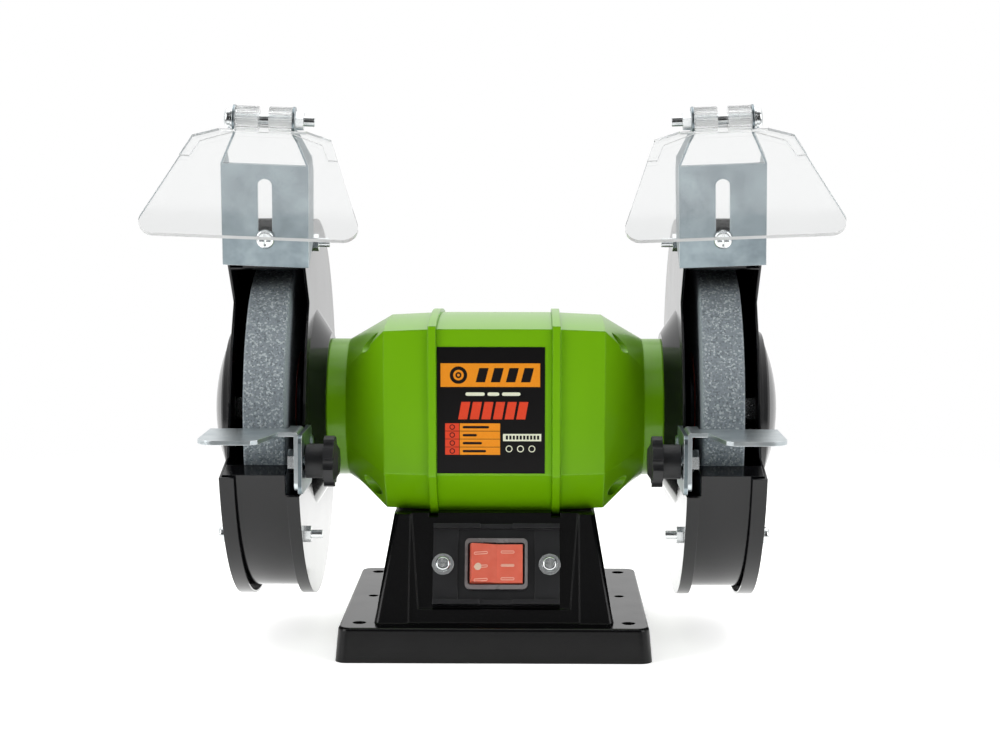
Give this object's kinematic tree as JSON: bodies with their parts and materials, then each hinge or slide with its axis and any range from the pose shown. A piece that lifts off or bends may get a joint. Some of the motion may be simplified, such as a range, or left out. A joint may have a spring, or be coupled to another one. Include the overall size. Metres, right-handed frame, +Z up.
{
  "type": "bench grinder",
  "caption": "Bench grinder: round guarded wheels on a motor with drafted end bells, pedestal base, tool rests, slotted shield brackets and hinged clear eye shields.",
  "frame": {"origin": "centre of the base's underside, where the four bench bolts' pattern is centred", "axes": "+X along the shaft to the operator's right, +Y away from the operator, +Z up"},
  "size_m": [0.3214, 0.2201, 0.2687],
  "materials": {
    "gloss_black_casting": "gloss black enamel on a casting",
    "black_sheet": "black paint",
    "gloss_black_sheet": "gloss black enamel on pressed sheet",
    "green_paint": "gloss green enamel",
    "zinc_screws": "bright zinc plate",
    "zinc_sheet": "blue zinc plate on sheet steel",
    "core_steel": "stacked laminations",
    "shaft_steel": "ground",
    "bearing_steel": "polished",
    "copper_wire": "varnished winding wire",
    "cast_aluminium": "cast",
    "black_plastic": "fine moulded grain",
    "knob_plastic": "moulded",
    "grey_plastic": "moulded",
    "red_rocker": "translucent moulded",
    "clear_boot": "clear soft cap",
    "clear_shield": "clear moulded sheet",
    "label_film": "printed film",
    "grinding_stone": "grey bonded grit",
    "dark_flange": "black oxide"
  },
  "bodies": {
    "frame": {"base_casting": "gloss_black_casting", "bottom_cover": "black_sheet", "bottom_cover_screws": "zinc_screws", "motor_mount_bolts": "zinc_screws", "switch_plate": "black_plastic", "switch_plate_screws": "zinc_screws", "switch_housing": "black_plastic", "switch_boot": "clear_boot", "stator_shell": "green_paint", "tie_bolts": "zinc_screws", "stator_core": "core_steel", "stator_windings": "copper_wire", "capacitor": "grey_plastic", "terminal_block": "grey_plastic", "cable_gland": "black_plastic", "rating_label": "label_film", "left_end_bell": "green_paint", "left_bearing_outer": "bearing_steel", "left_inner_guard": "gloss_black_sheet", "left_guard_band": "gloss_black_sheet", "left_outer_cover": "gloss_black_sheet", "left_cover_bolts": "zinc_screws", "left_guard_mount_screws": "zinc_screws", "left_tool_rest_support": "zinc_sheet", "left_bracket_screw": "zinc_screws", "right_end_bell": "green_paint", "right_bearing_outer": "bearing_steel", "right_inner_guard": "gloss_black_sheet", "right_guard_band": "gloss_black_sheet", "right_outer_cover": "gloss_black_sheet", "right_cover_bolts": "zinc_screws", "right_guard_mount_screws": "zinc_screws", "right_tool_rest_support": "zinc_sheet", "right_bracket_screw": "zinc_screws"},
    "rotor": {"shaft": "shaft_steel", "rotor_core": "core_steel", "rotor_end_rings": "cast_aluminium", "left_bearing_inner": "bearing_steel", "left_wheel": "grinding_stone", "left_inner_flange": "dark_flange", "left_outer_flange": "dark_flange", "left_spindle_nut": "zinc_screws", "right_bearing_inner": "bearing_steel", "right_wheel": "grinding_stone", "right_inner_flange": "dark_flange", "right_outer_flange": "dark_flange", "right_spindle_nut": "zinc_screws"},
    "rocker": {"switch_rocker": "red_rocker"},
    "left_rest": {"left_tool_rest": "zinc_sheet", "left_rest_bolt": "zinc_screws"},
    "left_knob": {"left_rest_knob": "knob_plastic"},
    "left_arm": {"left_shield_bracket": "zinc_sheet", "left_hinge_bolt": "zinc_screws"},
    "left_shield": {"left_eye_shield": "clear_shield"},
    "right_rest": {"right_tool_rest": "zinc_sheet", "right_rest_bolt": "zinc_screws"},
    "right_knob": {"right_rest_knob": "knob_plastic"},
    "right_arm": {"right_shield_bracket": "zinc_sheet", "right_hinge_bolt": "zinc_screws"},
    "right_shield": {"right_eye_shield": "clear_shield"}
  },
  "joints": [
    {"name": "rotor_spin", "type": "hinge", "parent": "frame", "child": "rotor", "pos_m": [0, 0, 0.1165], "axis": [1, 0, 0], "continuous": true},
    {"name": "rocker_tip", "type": "hinge", "parent": "frame", "child": "rocker", "pos_m": [0.001, -0.053, 0.0441], "axis": [0, 0.382, 0.9241], "range_deg": [-16, 0]},
    {"name": "left_rest_slide", "type": "slide", "parent": "frame", "child": "left_rest", "axis": [0, 1, 0], "range_m": [-0.01, 0.0015]},
    {"name": "left_knob_turn", "type": "hinge", "parent": "left_rest", "child": "left_knob", "pos_m": [-0.0808, -0.079, 0.0991], "axis": [1, 0, 0], "continuous": true},
    {"name": "left_bracket_slide", "type": "slide", "parent": "frame", "child": "left_arm", "axis": [-0.0419, 0.3253, -0.9447], "range_m": [0, 0.02]},
    {"name": "left_shield_swing", "type": "hinge", "parent": "left_arm", "child": "left_shield", "pos_m": [-0.10761, -0.08158, 0.2616], "axis": [-0.9991, -0.0136, 0.0396], "range_deg": [-15, 95]},
    {"name": "right_rest_slide", "type": "slide", "parent": "frame", "child": "right_rest", "axis": [0, 1, 0], "range_m": [-0.01, 0.0015]},
    {"name": "right_knob_turn", "type": "hinge", "parent": "right_rest", "child": "right_knob", "pos_m": [0.0808, -0.079, 0.0991], "axis": [1, 0, 0], "continuous": true},
    {"name": "right_bracket_slide", "type": "slide", "parent": "frame", "child": "right_arm", "axis": [0.0419, 0.3253, -0.9447], "range_m": [0, 0.02]},
    {"name": "right_shield_swing", "type": "hinge", "parent": "right_arm", "child": "right_shield", "pos_m": [0.10761, -0.08158, 0.2616], "axis": [-0.9991, 0.0136, -0.0396], "range_deg": [-15, 95]}
  ]
}
